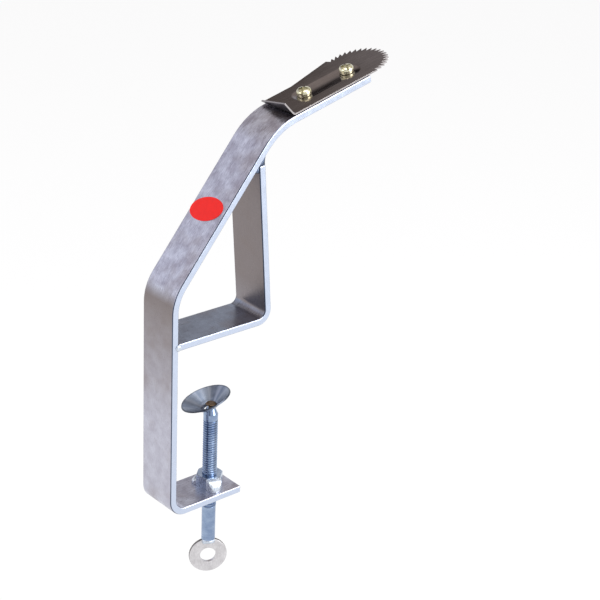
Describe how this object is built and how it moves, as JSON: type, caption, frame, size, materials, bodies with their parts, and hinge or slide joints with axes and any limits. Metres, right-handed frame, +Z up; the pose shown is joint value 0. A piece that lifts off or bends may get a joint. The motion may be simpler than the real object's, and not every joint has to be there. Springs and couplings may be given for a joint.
{
  "type": "clamp-on coconut scraper",
  "caption": "Table-clamp coconut scraper: bent flat-bar frame with a brace, a serrated scraping blade on its arm and an eye-turned clamp screw with a swivelling cup.",
  "frame": {"origin": "on the jaw's clamping face, which is its flat underside, where the clamp screw's axis crosses it", "axes": "+X the way the foot, the jaw and the arm point, +Y towards the far edge of the bar, +Z up along the clamp screw"},
  "size_m": [0.1482, 0.0319, 0.2814],
  "materials": {
    "zinc_bar": "zinc plated, brushed",
    "weld": "weld bead, zinc plated",
    "zinc_screw": "blue zinc plated",
    "eye_steel": "satin",
    "cup_steel": "zinc plated pressing",
    "rivet_steel": "bare, browned",
    "blade_steel": "polished stainless sheet",
    "yellow_zinc": "yellow zinc plated steel",
    "label": "gloss vinyl"
  },
  "bodies": {
    "frame": {"main_bar": "zinc_bar", "brace_bar": "zinc_bar", "brace_weld": "weld", "jaw_weld": "weld", "clamp_nut": "zinc_screw", "nut_weld": "weld", "grater_blade": "blade_steel", "rear_blade_screw": "yellow_zinc", "front_blade_screw": "yellow_zinc", "rear_lock_washer": "yellow_zinc", "front_lock_washer": "yellow_zinc", "rear_blade_nut": "yellow_zinc", "front_blade_nut": "yellow_zinc", "oval_label": "label"},
    "swivel": {"swivel_rivet": "rivet_steel"},
    "screw": {"clamp_screw": "zinc_screw", "eye_washer": "eye_steel", "eye_weld": "weld"},
    "cup": {"pressure_cup": "cup_steel"}
  },
  "joints": [
    {"name": "clamp_travel", "type": "slide", "parent": "frame", "child": "swivel", "axis": [0, 0, 1], "range_m": [-0.0319, 0.0129]},
    {"name": "screw_turn", "type": "hinge", "parent": "swivel", "child": "screw", "pos_m": [0, 0, -0.09], "axis": [0, 0, 1], "range_deg": [-8150, 3300]},
    {"name": "cup_tilt", "type": "hinge", "parent": "swivel", "child": "cup", "pos_m": [0, 0, -0.0498], "axis": [-0.6587, -0.7524, 0], "range_deg": [-39.6, 0]}
  ],
  "couplings": [
    {"joint": "screw_turn", "follows": "clamp_travel", "rad_per_m": 4453}
  ]
}
